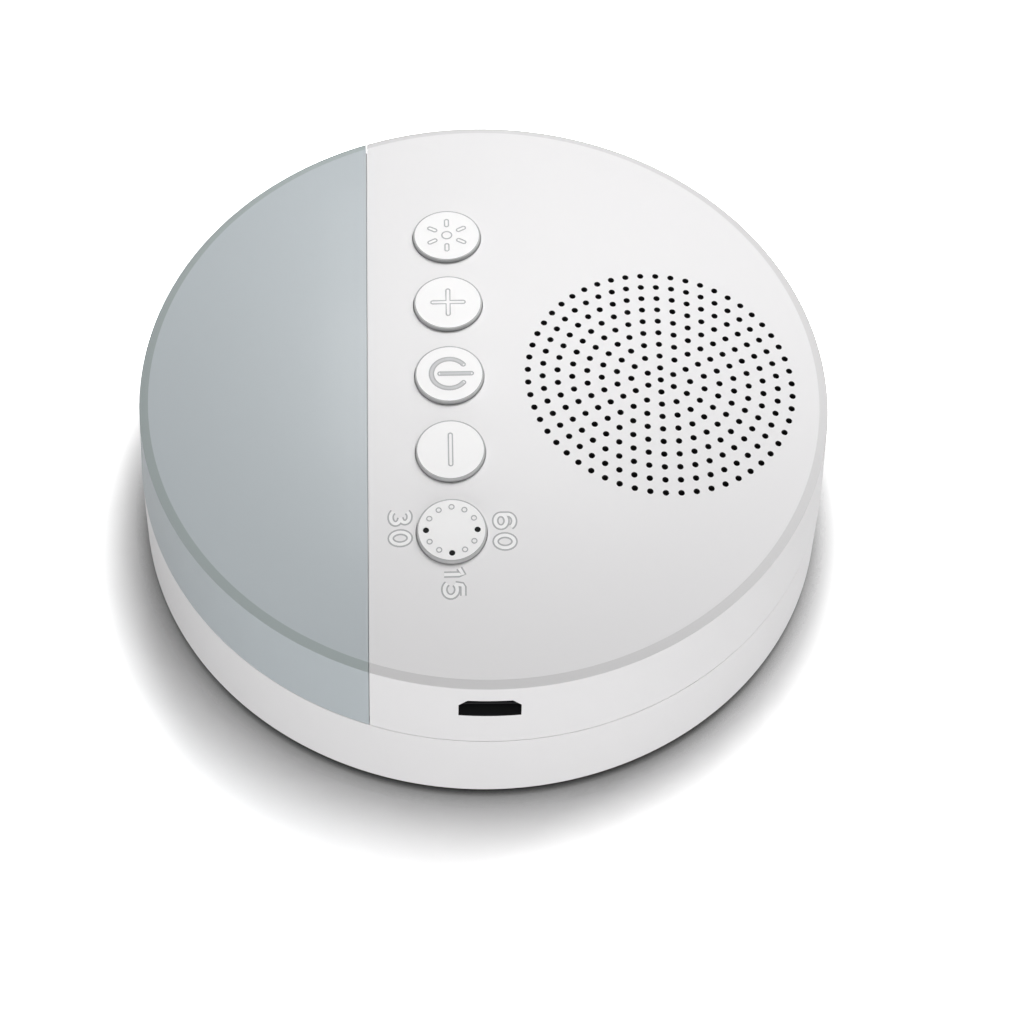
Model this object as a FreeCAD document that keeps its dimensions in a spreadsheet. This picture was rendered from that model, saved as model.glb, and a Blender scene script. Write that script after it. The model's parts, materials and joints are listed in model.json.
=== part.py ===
import FreeCAD, Part
import Sketcher
import math
import os
import re

# A palm-sized sound machine: a round two-part casing with a domed top, a light panel across one side of
# it, five push keys in a column, and a loudspeaker under a round grille.
# Z = 0 is the table under the rubber feet. X runs from the light panel to the grille, and the charging
# socket faces -Y. The casing's axis is the Z axis.

# Driving sizes in millimetres, degrees and counts.
sizes = {
    # casing
    "footProud": 0.8,
    "footSink": 0.8,
    "footRadius": 4.0,
    "footCircle": 38.0,
    "heelWidth": 0.9,
    "heelRise": 1.3,
    "heelRadius": 48.05,
    "seamRadius": 48.28,
    "rimRadius": 48.0,
    "baseDepth": 14.36,
    "coverDepth": 12.94,
    "bandWidth": 1.21,
    "bandRise": 0.54,
    "domeRise": 4.6,
    "coverWall": 2.0,
    "coverBore": 46.0,
    "floorThick": 2.0,
    "seamGroove": 0.3,
    "lipThick": 1.3,
    "lipRise": 2.6,
    "lipDrop": 3.0,
    "lipGap": 0.15,
    # light panel
    "splitX": -16.2,
    "splitGap": 0.08,
    "ledgeWidth": 2.0,
    "ledgeThick": 0.9,
    "ledgeGap": 0.1,
    "bulkheadThick": 1.2,
    "bulkheadStep": 0.5,
    # casing screws
    "bossRadius": 3.2,
    "pillarRadius": 3.7,
    "pillarTop": 13.0,
    "bossGap": 0.2,
    "screwHeadRadius": 2.6,
    "screwHeadHigh": 1.8,
    "screwShankRadius": 1.4,
    "screwLength": 12.0,
    "screwSeat": 9.0,
    "headRoom": 0.3,
    "shankRoom": 0.2,
    "threadRoom": 0.05,
    "rightBossX": 19.2,
    "rightBossY": 36.2,
    "leftBossX": -11.5,
    "leftBossY": 38.5,
    # keys
    "keyX": -4.9,
    "keyPitch": 12.57,
    "capRadius": 4.8,
    "capProud": 0.9,
    "capEdge": 0.35,
    "capGap": 0.1,
    "sleeveThick": 1.2,
    "guideLift": 1.8,
    "earReach": 1.1,
    "earWidth": 3.0,
    "earThick": 0.8,
    "earGap": 0.1,
    "stemWide": 2.6,
    "keyTravel": 0.3,
    "windowRadius": 0.45,
    "windowCircle": 3.55,
    # switches
    "switchWide": 6.0,
    "switchHigh": 3.4,
    "switchReach": 5.0,
    "switchFloor": 0.9,
    "plungerWide": 3.4,
    "plungerCollar": 0.65,
    "collarThick": 0.6,
    "plungerGap": 0.1,
    # main board
    "boardDrop": 6.0,
    "boardThick": 1.6,
    "boardLeft": -14.0,
    "boardRight": 4.6,
    "boardHalf": 33.0,
    "tabHalf": 7.2,
    "tabReach": 44.4,
    "postRadius": 2.3,
    "postLeftX": -11.2,
    "postRightX": 1.4,
    "postY": 18.85,
    "smallShankRadius": 0.95,
    "smallHeadRadius": 1.9,
    "smallHeadHigh": 1.2,
    "smallScrewLength": 6.0,
    # charging socket
    "usbWide": 7.6,
    "usbHigh": 2.6,
    "usbSlope": 0.9,
    "usbDeep": 5.4,
    "usbWall": 0.3,
    "usbReach": 46.5,
    "tongueWide": 3.8,
    "tongueThick": 0.6,
    "tongueShort": 1.0,
    "slotWide": 8.5,
    "slotHigh": 3.7,
    "slotCorner": 1.2,
    "slotRise": 0.55,
    # loudspeaker
    "speakerX": 24.5,
    "seatDrop": 1.9,
    "seatInner": 19.3,
    "seatOuter": 21.2,
    "gasketThick": 0.8,
    "flangeRadius": 20.6,
    "flangeThick": 1.0,
    "mouthRadius": 17.2,
    "footPlateRadius": 11.8,
    "basketHigh": 8.2,
    "basketLegs": 4,
    "legWide": 5.0,
    "legThick": 1.1,
    "basketPlate": 0.8,
    "basketBore": 5.9,
    "earCircle": 23.2,
    "earRadius": 2.8,
    "plateThick": 1.8,
    "plateRadius": 10.0,
    "magnetThick": 5.0,
    "magnetRadius": 12.0,
    "magnetBore": 6.4,
    "poleRadius": 4.6,
    "coilThick": 0.35,
    "coilGap": 0.25,
    "coilHigh": 6.4,
    "coneRadius": 15.6,
    "coneThick": 0.5,
    "coneHigh": 5.0,
    "coneFloor": 0.8,
    "rollGap": 0.05,
    "capThick": 0.5,
    "clothThick": 0.25,
    "clothRadius": 19.1,
    "clothGap": 0.05,
    # grille
    "grilleRings": 9,
    "ringPitch": 2.057,
    "holeRadius": 0.45,
    "holeSides": 4,
    # battery and night light
    "cellRadius": 9.2,
    "cellLength": 65.0,
    "cellX": -22.6,
    "cellLift": 0.3,
    "cellGap": 0.2,
    "cellNose": 1.2,
    "cellNoseRadius": 3.0,
    "cradleHigh": 7.0,
    "cradleThick": 2.0,
    "cradleY": 20.0,
    "cradleWide": 21.0,
    "foamThick": 0.7,
    "foamWide": 7.0,
    "foamLong": 12.0,
    "trayRadius": 44.8,
    "trayEdgeX": -18.9,
    "trayFloor": 1.2,
    "trayRim": 3.0,
    "trayWall": 1.2,
    "trayPostX": -37.0,
    "trayPostY": 16.0,
    "trayPostRadius": 2.5,
    "lightBoardX": -29.0,
    "lightBoardWide": 9.0,
    "lightBoardLong": 50.0,
    "lightBoardThick": 1.0,
    "ledLong": 3.5,
    "ledWide": 2.8,
    "ledHigh": 0.8,
    "ledPitch": 8.0,
    "ledCount": 6,
}

doc = FreeCAD.newDocument("SoundMachine")
sheet = doc.addObject("Spreadsheet::Sheet", "Sizes")
for row, (alias, number) in enumerate(sizes.items(), start=1):
    sheet.set(f"A{row}", alias)
    sheet.set(f"B{row}", str(number))
    sheet.setAlias(f"B{row}", alias)
doc.recompute()

pieces = []


def vector(x=0.0, y=0.0, z=0.0):
    return FreeCAD.Vector(x, y, z)


def inSheet(words):
    """Turns plain size names into references to the sheet's cells."""
    return re.sub(
        r"[A-Za-z]\w*", lambda m: f"Sizes.{m.group()}" if m.group() in sizes else m.group(), str(words)
    )


def size(words):
    """The number that an expression on the sheet's sizes comes to."""
    found = sheet.evalExpression(inSheet(words))
    return float(getattr(found, "Value", found))


def bind(thing, **properties):
    for name, words in properties.items():
        thing.setExpression(name, inSheet(words))


def put(thing, x, y, z, turn=None):
    """Places a thing by expressions, turned by an (axis, degrees) pair if one is given."""
    if turn:
        thing.Placement = FreeCAD.Placement(vector(), FreeCAD.Rotation(vector(*turn[0]), turn[1]))
    for name, words in (("x", x), ("y", y), ("z", z)):
        thing.setExpression(f"Placement.Base.{name}", inSheet(words))
    return thing


def piece(thing, label):
    """Marks a finished sub-part and gives it its name."""
    thing.Label = label
    pieces.append(thing)
    return thing


def cylinder(name, radius, high, x="0", y="0", z="0", turn=None):
    thing = doc.addObject("Part::Cylinder", name)
    bind(thing, Radius=radius, Height=high)
    return put(thing, x, y, z, turn)


def cone(name, lower, upper, high, x="0", y="0", z="0"):
    thing = doc.addObject("Part::Cone", name)
    bind(thing, Radius1=lower, Radius2=upper, Height=high)
    return put(thing, x, y, z)


def funnel(name, lower, upper, high, z):
    """A cone on the loudspeaker's axis, as a ruled loft between two rings."""
    rings = []
    for end, radius, level in (("low", lower, z), ("high", upper, f"{z} + {high}")):
        ring = doc.addObject("Part::Circle", f"{name}_{end}")
        bind(ring, Radius=radius)
        rings.append(put(ring, "speakerX", "0", level))
    thing = doc.addObject("Part::Loft", name)
    thing.Sections = rings
    thing.Solid = True
    thing.Ruled = True
    return thing


def prism(name, sides, radius, high, x="0", y="0", z="0"):
    """A regular prism, its corners on a circle of the given radius."""
    thing = doc.addObject("Part::Prism", name)
    thing.Polygon = sides
    bind(thing, Circumradius=radius, Height=high)
    return put(thing, x, y, z)


def box(name, long, wide, high, x="0", y="0", z="0"):
    """A box whose middle in X and Y, and whose underside, are given."""
    thing = doc.addObject("Part::Box", name)
    bind(thing, Length=long, Width=wide, Height=high)
    return put(thing, f"({x}) - ({long}) / 2", f"({y}) - ({wide}) / 2", z)


def ball(name, radius):
    """A ball about the dome's centre, with its poles along Y, away from the top."""
    thing = doc.addObject("Part::Sphere", name)
    bind(thing, Radius=radius)
    return put(thing, "0", "0", domeCentre, ((1, 0, 0), 90))


def cut(name, base, *tools):
    thing = doc.addObject("Part::Cut", name)
    thing.Base = base
    thing.Tool = tools[0] if len(tools) == 1 else bundle(f"{name}_tools", tools)
    return thing


def common(name, base, tool):
    thing = doc.addObject("Part::Common", name)
    thing.Base = base
    thing.Tool = tool
    return thing


def fuse(name, *things):
    thing = doc.addObject("Part::MultiFuse", name)
    thing.Shapes = list(things)
    return thing


def bundle(name, things):
    thing = doc.addObject("Part::Compound", name)
    thing.Links = list(things)
    return thing


def copies(label, thing, places):
    """One node that holds a copy of a piece at each place."""
    links = []
    for number, (x, y, z) in enumerate(places):
        link = doc.addObject("App::Link", f"{label}_{number}")
        link.LinkedObject = thing
        for name, words in (("x", x), ("y", y), ("z", z)):
            link.setExpression(f"LinkPlacement.Base.{name}", inSheet(words))
        links.append(link)
    return piece(bundle(f"{label}_group", links), label)


def outline(body, name, plane, points, holes=()):
    """A closed sketch through points of two expressions each. A third and a fourth entry make the stretch
    to the next point an arc of that radius, turning left (1) or right (-1). Holes are (x, y, radius)."""
    sketch = body.newObject("Sketcher::SketchObject", name)
    side = next(f for f in body.Origin.OriginFeatures if f.Role == plane)
    sketch.AttachmentSupport = (side, [""])
    sketch.MapMode = "FlatFace"
    corners = [vector(size(p[0]), size(p[1])) for p in points]
    count = len(points)
    ends = []
    for i, point in enumerate(points):
        start, end = corners[i], corners[(i + 1) % count]
        if len(point) == 2:
            sketch.addGeometry(Part.LineSegment(start, end))
            ends.append((1, 2))
            continue
        radius, turn = size(point[2]), point[3]
        half = (end - start) * 0.5
        rise = radius - math.sqrt(radius**2 - half.Length**2)
        outward = vector(half.y, -half.x).normalize() * turn
        sketch.addGeometry(Part.Arc(start, start + half + outward * rise, end))
        ends.append((1, 2) if turn > 0 else (2, 1))
    for i in range(count):
        after = (i + 1) % count
        sketch.addConstraint(Sketcher.Constraint("Coincident", i, ends[i][1], after, ends[after][0]))
    for i, point in enumerate(points):
        fix(sketch, i, ends[i][0], point)
        if len(point) > 2:
            measure(sketch, Sketcher.Constraint("Radius", i, size(point[2])), point[2])
    for x, y, radius in holes:
        sketch.addGeometry(Part.Circle(vector(size(x), size(y)), vector(0, 0, 1), size(radius)))
        number = sketch.GeometryCount - 1
        fix(sketch, number, 3, (x, y))
        measure(sketch, Sketcher.Constraint("Radius", number, size(radius)), radius)
    return sketch


def measure(sketch, constraint, words):
    number = sketch.addConstraint(constraint)
    sketch.setExpression(f"Constraints[{number}]", inSheet(words))


def fix(sketch, geometry, point, place):
    """Ties a point of the sketch to its two coordinates."""
    for kind, words in (("DistanceX", place[0]), ("DistanceY", place[1])):
        measure(sketch, Sketcher.Constraint(kind, -1, 1, geometry, point, size(words)), words)


def turned(label, points, x="0", y="0", z="0", turn=None):
    """A body turned about its own Z axis from a profile of (radius, height) points."""
    body = doc.addObject("PartDesign::Body", label)
    sketch = outline(body, f"{label}_profile", "XZ_Plane", points)
    feature = body.newObject("PartDesign::Revolution", f"{label}_turning")
    feature.Profile = sketch
    feature.ReferenceAxis = (sketch, ["V_Axis"])
    feature.Angle = 360
    return put(body, x, y, z, turn)


def plate(label, points, high, x="0", y="0", z="0", holes=(), plane="XY_Plane"):
    """A body padded from a flat outline."""
    body = doc.addObject("PartDesign::Body", label)
    feature = body.newObject("PartDesign::Pad", f"{label}_pad")
    feature.Profile = outline(body, f"{label}_outline", plane, points, holes)
    bind(feature, Length=high)
    return put(body, x, y, z)


def rectangle(long, wide, x="0", y="0"):
    """The corners of a rectangle about (x, y)."""
    left, right = f"({x}) - ({long}) / 2", f"({x}) + ({long}) / 2"
    near, far = f"({y}) - ({wide}) / 2", f"({y}) + ({wide}) / 2"
    return [(left, near), (right, near), (right, far), (left, far)]


# Levels and radii that follow from the driving sizes.
seamZ = "(footProud + baseDepth)"
rimZ = f"({seamZ} + coverDepth)"
bandRadius = "(rimRadius - bandWidth)"
apexZ = f"({rimZ} + bandRise + domeRise)"
domeRadius = f"(({bandRadius} * {bandRadius} + domeRise * domeRise) / (2 * domeRise))"
domeCentre = f"({apexZ} - {domeRadius})"
floorTop = "(footProud + floorThick)"
boardTop = f"({rimZ} - boardDrop)"
boardUnder = f"({boardTop} - boardThick)"
plungerTop = f"({boardTop} + switchReach)"
guideZ = f"({plungerTop} + guideLift)"
seatZ = f"({rimZ} - seatDrop)"
flangeTop = f"({seatZ} - gasketThick)"
basketFootZ = f"({flangeTop} - flangeThick - basketHigh)"
keyHole = "(capRadius + capGap)"
keys = {
    "light": "2 * keyPitch",
    "volume_up": "keyPitch",
    "power": "0",
    "volume_down": "-keyPitch",
    "timer": "-2 * keyPitch",
}
bossPlaces = [
    ("rightBossX", "rightBossY"),
    ("rightBossX", "-rightBossY"),
    ("leftBossX", "leftBossY"),
    ("leftBossX", "-leftBossY"),
]
boardPostPlaces = [("postLeftX", "-postY"), ("postRightX", "postY")]
speakerEarPlaces = [("speakerX", f"{side} * earCircle") for side in (1, -1)]

# The casing's upper skin, before it is split into cover and light panel.
sideCone = cone("skin_side", "seamRadius", "rimRadius", "coverDepth", z=seamZ)
bandCone = cone("skin_band", "rimRadius", "rimRadius - 2.5 * bandWidth", "2.5 * bandRise", z=rimZ)
crown = cylinder("skin_crown", "rimRadius - 2.5 * bandWidth", "domeRise", z=f"{rimZ} + 2.5 * bandRise")
blank = common("skin_blank", fuse("skin_stack", sideCone, bandCone, crown), ball("skin_dome", domeRadius))
boreHigh = "coverDepth + bandRise + domeRise + 2"
bore = cylinder("skin_bore", "coverBore", boreHigh, z=f"{seamZ} - 1")
hollow = common("skin_hollow", bore, ball("skin_hollow_dome", f"{domeRadius} - coverWall"))
skin = cut("skin", blank, hollow)

# What hangs inside the cover is trimmed to this form, which stops part of the way into the skin.
trimBore = cylinder("trim_bore", "coverBore + ledgeThick", boreHigh, z=seamZ)
trim = common("trim", trimBore, ball("trim_dome", f"{domeRadius} - coverWall + ledgeThick"))
wideBore = cylinder("wide_bore", "coverBore + ledgeThick + ledgeGap", boreHigh, z=f"{seamZ} - 1")
wideTrim = common("wide_trim", wideBore, ball("wide_dome", f"{domeRadius} - coverWall + ledgeThick + ledgeGap"))

span = "2 * seamRadius"


def sideSlab(name, fromX, toX, z, high):
    """A slab across the whole casing between two X values."""
    long = f"(({toX}) - ({fromX}))"
    return box(name, long, span, high, x=f"({fromX}) + {long} / 2", z=z)


def makeTopCover():
    coverSlab = sideSlab("cover_slab", "splitX", "seamRadius + 1", f"{seamZ} - 1", boreHigh)
    coverSkin = common("cover_skin", skin, coverSlab)
    ledgeSlab = sideSlab("ledge_slab", "splitX - ledgeWidth", "splitX + 1", seamZ, boreHigh)
    ledge = cut("cover_ledge", common("ledge_layer", trim, ledgeSlab), hollow)
    inside = [sideSlab("bulkhead_slab", "splitX + bulkheadStep", "splitX + bulkheadStep + bulkheadThick",
                       boardUnder, f"{apexZ} - {boardUnder}")]
    drilled = []
    for name, y in keys.items():
        inside.append(
            cylinder(f"sleeve_{name}", f"{keyHole} + sleeveThick", "domeRise + bandRise", "keyX", y, guideZ)
        )
        drilled.append(cylinder(f"bore_{name}", keyHole, "2 * coverDepth", "keyX", y, f"{guideZ} - 1"))
    for number, (x, y) in enumerate(bossPlaces):
        foot = "(pillarTop + bossGap)"
        inside.append(cylinder(f"boss_{number}", "bossRadius", f"{apexZ} - {foot}", x, y, foot))
        deep = "(screwSeat + screwLength - pillarTop - bossGap + 1)"
        drilled.append(cylinder(f"boss_bore_{number}", "screwShankRadius + threadRoom", deep, x, y, foot))
    for number, (x, y) in enumerate(boardPostPlaces):
        inside.append(cylinder(f"post_{number}", "postRadius", f"{apexZ} - {boardTop}", x, y, boardTop))
        deep = "(smallScrewLength - boardThick + 0.5)"
        drilled.append(cylinder(f"post_bore_{number}", "smallShankRadius + threadRoom", deep, x, y, boardTop))
    seatTube = cylinder("seat_outer", "seatOuter", f"{apexZ} - {seatZ}", "speakerX", z=seatZ)
    seatHollow = cylinder("seat_inner", "seatInner", f"{apexZ} - {seatZ} + 2", "speakerX", z=f"{seatZ} - 1")
    inside.append(cut("speaker_seat", seatTube, seatHollow))
    for number, (x, y) in enumerate(speakerEarPlaces):
        inside.append(cylinder(f"ear_post_{number}", "earRadius - 0.3", f"{apexZ} - {flangeTop}", x, y, flangeTop))
        deep = "(smallScrewLength / 2 + 0.2)"
        drilled.append(cylinder(f"ear_bore_{number}", "smallShankRadius + threadRoom", deep, x, y, flangeTop))
    furniture = common("cover_inside", fuse("cover_furniture", *inside), trim)
    low, high = f"{boardTop} - slotRise + 0.05", f"{boardTop} - slotRise + 0.05 + slotHigh"
    slot = plate(
        "usb_slot",
        [
            ("-slotWide / 2", low),
            ("slotWide / 2", low),
            ("slotWide / 2", f"{high} - slotCorner"),
            ("slotWide / 2 - slotCorner", high),
            ("-(slotWide / 2 - slotCorner)", high),
            ("-slotWide / 2", f"{high} - slotCorner"),
        ],
        "2 * coverWall",
        y="-(coverBore - 1)",
        plane="XZ_Plane",
    )
    whole = fuse("cover_whole", coverSkin, ledge, furniture)
    solid = cut("cover_drilled", whole, slot, *drilled)
    return piece(cut("cover_pierced", solid, makeGrillePins()), "top_cover")


def makeGrillePins():
    """The pins that pierce the grille: one at the middle, and rings of 6, 12, 18 and so on round it. Their
    flat sides are spline faces, so that each meets the dome in one short edge."""
    pins = []
    sides = int(size("holeSides"))
    foot, reach = size(f"{rimZ} - 3"), size("domeRise + bandRise + 6")
    for ring in range(int(size("grilleRings")) + 1):
        count = max(1, 6 * ring)
        for step in range(count):
            turn = math.radians(90 + 360 * step / count)
            away = ring * size("ringPitch")
            middle = vector(size("speakerX") + away * math.cos(turn), away * math.sin(turn), foot)
            corners = [
                middle + vector(math.cos(turn + a), math.sin(turn + a)) * size("holeRadius")
                for a in (2 * math.pi * k / sides for k in range(sides))
            ]
            face = Part.Face(Part.makePolygon([*corners, corners[0]]))
            pins.append(face.extrude(vector(0, 0, reach)).toNurbs())
    thing = doc.addObject("Part::Feature", "grille_pins")
    thing.Shape = Part.makeCompound(pins)
    return thing


def makeLightPanel():
    panelSlab = sideSlab("panel_slab", "-seamRadius - 1", "splitX - splitGap", f"{seamZ} - 1", boreHigh)
    rebateSlab = sideSlab("rebate_slab", "splitX - ledgeWidth - ledgeGap", "splitX + 1", f"{seamZ} - 1", boreHigh)
    rebate = common("panel_rebate", wideTrim, rebateSlab)
    return piece(cut("panel", common("panel_skin", skin, panelSlab), rebate), "light_panel")


def makeBase():
    lipRadius = "(coverBore - lipGap)"
    lipInner = f"({lipRadius} - lipThick)"
    tray = turned(
        "base_tray",
        [
            ("0", "footProud"),
            ("heelRadius - heelWidth", "footProud"),
            ("heelRadius", "footProud + heelRise"),
            ("seamRadius", f"{seamZ} - seamGroove"),
            ("seamRadius - seamGroove", seamZ),
            (lipRadius, seamZ),
            (lipRadius, f"{seamZ} + lipRise"),
            (lipInner, f"{seamZ} + lipRise"),
            (lipInner, f"{seamZ} - lipDrop"),
            ("coverBore", f"{seamZ} - lipDrop - lipThick"),
            ("coverBore", floorTop),
            ("0", floorTop),
        ],
    )
    added, taken = [], []
    for number, (x, y) in enumerate(bossPlaces):
        added.append(cylinder(f"pillar_{number}", "pillarRadius", "pillarTop - footProud", x, y, "footProud"))
        taken.append(
            cylinder(f"head_bore_{number}", "screwHeadRadius + headRoom", "screwSeat + 1", x, y, "-1")
        )
        taken.append(cylinder(f"shank_bore_{number}", "screwShankRadius + shankRoom", "pillarTop", x, y, "1"))
    for side in (1, -1):
        y = f"{side} * trayPostY"
        added.append(
            cylinder(f"tray_post_{side + 1}", "trayPostRadius", f"{trayZ} - footProud", "trayPostX", y, "footProud")
        )
        bored = f"{trayZ} - smallScrewLength"
        taken.append(
            cylinder(f"tray_bore_{side + 1}", "smallShankRadius + threadRoom", "smallScrewLength + 1",
                     "trayPostX", y, bored)
        )
        added.append(
            box(f"cradle_{side + 1}", "cradleWide", "cradleThick", "cradleHigh + 0.5", "cellX",
                f"{side} * cradleY", f"{floorTop} - 0.5")
        )
    taken.append(
        cylinder("cradle_bore", "cellRadius + cellGap", "cellLength + 2", "cellX", "cellLength / 2 + 1", cellZ,
                 ((1, 0, 0), 90))
    )
    for x, y in footPlaces:
        taken.append(cylinder("foot_recess", "footRadius + 0.1", "footProud + footSink", x, y, "0"))
    return piece(cut("base", fuse("base_whole", tray, *added), *taken), "base_shell")


def makeFeet():
    foot = turned(
        "foot",
        [
            ("0", "0"),
            ("footRadius - 0.3", "0"),
            ("footRadius", "0.3"),
            ("footRadius", "footProud + footSink"),
            ("0", "footProud + footSink"),
        ],
    )
    return copies("rubber_feet", foot, [(x, y, "0") for x, y in footPlaces])


def makeScrew(label, head, headHigh, shank, long, up=True):
    """A tapping screw with flat-sided head and shank, its bearing face at Z = 0, pointing up or down."""
    headZ, shankZ = (f"-({headHigh})", "0") if up else ("0", f"-({long})")
    return fuse(label, prism(f"{label}_head", 6, head, headHigh, z=headZ),
                prism(f"{label}_shank", 8, shank, long, z=shankZ))


def makeKeys():
    """Each key is a cap, with its two ears under the guide sleeve, on a switch plunger of its own."""
    capDome = ball("cap_dome", f"{domeRadius} + capProud")
    for name, y in keys.items():
        under = f"({guideZ} - earGap)"
        barrel = cylinder(f"{name}_barrel", "capRadius", f"{apexZ} - {guideZ} + 3", "keyX", y, under)
        earSpan = f"2 * ({keyHole} + earReach)"
        ears = box(f"{name}_ears", "earWidth", earSpan, "earThick", "keyX", y, f"{under} - earThick")
        stem = box(f"{name}_stem", "stemWide", "stemWide", f"{under} - {plungerTop}", "keyX", y, plungerTop)
        cap = common(f"{name}_cap", fuse(f"{name}_rough", barrel, ears, stem), capDome)
        doc.recompute()
        edges = cap.Shape.Edges
        rim = max((i for i, e in enumerate(edges) if len(e.Vertexes) == 1), key=lambda i: edges[i].BoundBox.ZMin)
        edged = doc.addObject("Part::Chamfer", f"{name}_edged")
        edged.Base = cap
        edged.Edges = [(rim + 1, size("capEdge"), size("capEdge"))]
        if name == "timer":
            windows = [
                cylinder(f"timer_window_{turn}", "windowRadius", f"{apexZ} - {guideZ} + 4",
                         f"keyX + windowCircle * cos({turn})", f"{y} + windowCircle * sin({turn})",
                         f"{under} - 1")
                for turn in (0, 180, 270)
            ]
            edged = cut("timer_windowed", edged, *windows)
        piece(edged, f"button_{name}")
        collarZ = f"{boardTop} + switchFloor + keyTravel + 0.1"
        wide = "plungerWide + 2 * plungerCollar"
        collar = box(f"{name}_collar", wide, wide, "collarThick", "keyX", y, collarZ)
        post = box(f"{name}_post", "plungerWide", "plungerWide", f"{plungerTop} - ({collarZ})", "keyX", y, collarZ)
        piece(fuse(f"{name}_plunger", collar, post), f"plunger_{name}")


def makeSwitchHousings():
    body = box("switch_block", "switchWide", "switchWide", "switchHigh")
    mouthWide = "plungerWide + 2 * plungerGap"
    mouth = box("switch_mouth", mouthWide, mouthWide, "switchHigh", z="switchFloor")
    roomWide = "plungerWide + 2 * plungerCollar + 2 * plungerGap"
    room = box("switch_room", roomWide, roomWide, "keyTravel + 0.1 + collarThick + 0.05", z="switchFloor")
    housing = cut("switch_housing", body, mouth, room)
    return copies("switch_housings", housing, [("keyX", y, boardTop) for y in keys.values()])


def makeMainBoard():
    board = plate(
        "board",
        [
            ("boardLeft", "-boardHalf"),
            ("-tabHalf", "-boardHalf"),
            ("-tabHalf", "-tabReach"),
            ("tabHalf", "-tabReach"),
            ("tabHalf", "-boardHalf"),
            ("boardRight", "-boardHalf"),
            ("boardRight", "boardHalf"),
            ("boardLeft", "boardHalf"),
        ],
        "boardThick",
        z=boardUnder,
        holes=[(x, y, "smallShankRadius + shankRoom") for x, y in boardPostPlaces],
    )
    return piece(board, "main_board")


def makeSocket():
    """The charging socket's folded shell, wider at the bottom, and the plug's tongue inside it."""

    def section(inset):
        half, slope = f"(usbWide / 2 - {inset})", "usbSlope"
        low, high = inset, f"(usbHigh - {inset})"
        return [
            (f"-{half}", low),
            (half, low),
            (half, f"{high} - {slope}"),
            (f"{half} - {slope}", high),
            (f"-{half} + {slope}", high),
            (f"-{half}", f"{high} - {slope}"),
        ]

    mouth = "-(usbReach - usbDeep)"
    shell = plate("usb_sleeve", section("0"), "usbDeep", y=mouth, z=boardTop, plane="XZ_Plane")
    room = plate("usb_room", section("usbWall"), "usbDeep", y=f"{mouth} - usbWall", z=boardTop, plane="XZ_Plane")
    piece(cut("usb_folded", shell, room), "usb_shell")
    back = box("usb_back", "usbWide - 2 * usbSlope - 2 * usbWall", "0.8", "usbHigh - 2 * usbWall - 0.1",
               y=f"{mouth} - usbWall - 0.4", z=f"{boardTop} + usbWall + 0.05")
    long = "(usbDeep - usbWall - tongueShort)"
    tongue = box("usb_bar", "tongueWide", long, "tongueThick", y=f"{mouth} - usbWall - {long} / 2",
                 z=f"{boardTop} + usbHigh / 2")
    piece(fuse("usb_insert", back, tongue), "usb_tongue")


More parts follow.
